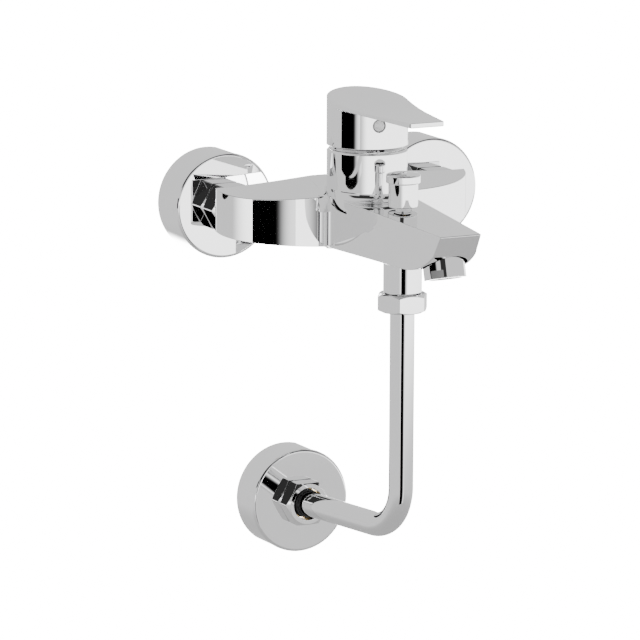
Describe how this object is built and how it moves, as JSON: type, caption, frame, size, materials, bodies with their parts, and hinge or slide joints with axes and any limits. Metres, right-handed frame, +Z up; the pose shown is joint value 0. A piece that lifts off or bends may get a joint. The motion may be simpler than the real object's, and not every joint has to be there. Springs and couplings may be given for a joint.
{
  "type": "wall mounted bath faucet",
  "caption": "Chrome wall mounted bath mixer: bow-shaped arms, single lever, flat tapering spout with pull-up diverter and aerator, and a bent pipe back to a wall outlet.",
  "frame": {"origin": "on the finished wall, midway between the two inlet axes", "axes": "+Z up, +Y into the wall, so the faucet stands out towards -Y; +X to the right of a person who faces the wall"},
  "size_m": [0.219, 0.229, 0.3141],
  "materials": {
    "chrome": "bright polished chrome plate",
    "brass": "machined, unplated",
    "steel": "stainless, drawn",
    "ceramic": "lapped alumina ceramic",
    "plastic": "moulded acetal, grey",
    "rubber": "moulded EPDM",
    "index": "glossy white plug"
  },
  "bodies": {
    "faucet_body": {"left_wall_flange": "chrome", "left_eccentric_union": "brass", "left_union_nut": "chrome", "left_filter_washer": "rubber", "left_inlet_nipple": "brass", "right_wall_flange": "chrome", "right_eccentric_union": "brass", "right_union_nut": "chrome", "right_filter_washer": "rubber", "right_inlet_nipple": "brass", "body_casting": "chrome", "cartridge_base_seal": "rubber", "cartridge_base": "plastic", "fixed_ceramic_disc": "ceramic", "cartridge_housing": "plastic", "cartridge_retaining_nut": "brass", "cover_dome_ring": "chrome", "diverter_bonnet": "chrome", "diverter_o_ring": "rubber", "diverter_spring": "steel", "aerator_housing": "chrome", "aerator_insert": "plastic", "aerator_seal": "rubber", "shower_outlet_nipple": "chrome", "pipe_union_nut": "chrome", "pipe_union_washer": "rubber", "pipe_retaining_ring": "brass", "outlet_pipe": "chrome", "pipe_compression_ring": "rubber", "pipe_wall_nut": "chrome", "pipe_wall_nipple": "brass", "pipe_wall_flange": "chrome"},
    "swivel": {"cartridge_carrier": "plastic", "spindle_pivot_pin": "steel"},
    "lever": {"cartridge_spindle": "brass", "handle_lever": "chrome", "handle_grub_screw": "steel", "index_button": "index"},
    "ceramic_slide": {"moving_ceramic_disc": "ceramic", "moving_disc_holder": "plastic"},
    "diverter": {"diverter_knob": "chrome", "diverter_rod": "brass", "diverter_valve_plate": "brass", "diverter_valve_seal": "rubber"}
  },
  "joints": [
    {"name": "handle_swivel", "type": "hinge", "parent": "faucet_body", "child": "swivel", "pos_m": [0, -0.0843, 0.0255], "axis": [0, 0, 1], "range_deg": [-50, 50]},
    {"name": "handle_lift", "type": "hinge", "parent": "swivel", "child": "lever", "pos_m": [0, -0.0843, 0.0255], "axis": [-1, 0, 0], "range_deg": [0, 25]},
    {"name": "disc_slide", "type": "slide", "parent": "swivel", "child": "ceramic_slide", "axis": [0, -1, 0], "range_m": [0, 0.0068]},
    {"name": "diverter_pull", "type": "slide", "parent": "faucet_body", "child": "diverter", "axis": [0, 0, 1], "range_m": [0, 0.009], "stiffness_N_per_m": 250, "springref_m": -0.004, "deforming": ["diverter_spring"]}
  ],
  "couplings": [
    {"joint": "disc_slide", "follows": "handle_lift", "m_per_rad": 0.0155}
  ]
}
